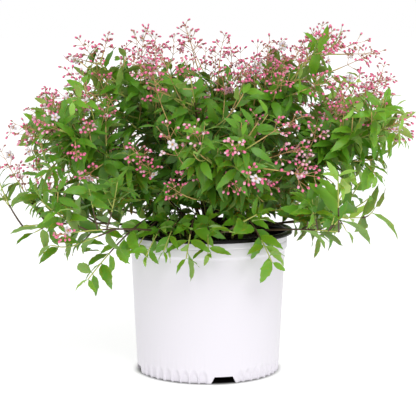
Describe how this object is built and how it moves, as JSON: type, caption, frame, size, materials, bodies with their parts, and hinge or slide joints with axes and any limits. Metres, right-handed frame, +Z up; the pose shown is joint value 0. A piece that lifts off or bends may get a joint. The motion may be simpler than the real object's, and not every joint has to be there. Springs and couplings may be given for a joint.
{
  "type": "potted deutzia",
  "caption": "Potted deutzia: a broad, arching flowering shrub with leafy stems and pink-budded sprays, rooted in potting mix in a white round nursery pot.",
  "frame": {"origin": "centre of the pot's flat underside", "axes": "+Z up along the pot's axis, -Y towards the viewer of the picture, +X to the viewer's right"},
  "size_m": [0.6774, 0.6523, 0.5752],
  "materials": {
    "white_plastic": "smooth moulded, slightly glossy",
    "potting_mix": "loose, damp and dark",
    "bark": "thin, brown, finely peeling",
    "green_shoot": "smooth young bark",
    "foliage": "satin leaf"
  },
  "bodies": {
    "root": {"pot": "white_plastic", "potting_mix": "potting_mix", "root_knob": "bark", "skirt_1_stem": "bark", "skirt_2_stem": "bark", "skirt_3_stem": "bark", "skirt_4_stem": "bark", "skirt_5_stem": "bark", "skirt_6_stem": "bark", "skirt_7_stem": "bark", "skirt_8_stem": "bark", "shoulder_1_stem": "bark", "shoulder_2_stem": "bark", "shoulder_3_stem": "bark", "shoulder_4_stem": "bark", "shoulder_5_stem": "bark", "shoulder_6_stem": "bark", "upper_1_stem": "bark", "upper_2_stem": "bark", "upper_3_stem": "bark", "upper_4_stem": "bark", "upper_5_stem": "bark", "middle_stem": "bark", "rim_1_stem": "green_shoot", "rim_2_stem": "green_shoot", "rim_3_stem": "green_shoot", "rim_1_foliage": "foliage", "rim_2_foliage": "foliage", "rim_3_foliage": "foliage", "skirt_1_foliage": "foliage", "skirt_2_foliage": "foliage", "skirt_3_foliage": "foliage", "skirt_4_foliage": "foliage", "skirt_5_foliage": "foliage", "skirt_6_foliage": "foliage", "skirt_7_foliage": "foliage", "skirt_8_foliage": "foliage", "shoulder_1_foliage": "foliage", "shoulder_2_foliage": "foliage", "shoulder_3_foliage": "foliage", "shoulder_4_foliage": "foliage", "shoulder_5_foliage": "foliage", "shoulder_6_foliage": "foliage", "upper_1_foliage": "foliage", "upper_2_foliage": "foliage", "upper_3_foliage": "foliage", "upper_4_foliage": "foliage", "upper_5_foliage": "foliage", "middle_foliage": "foliage"}
  },
  "joints": []
}
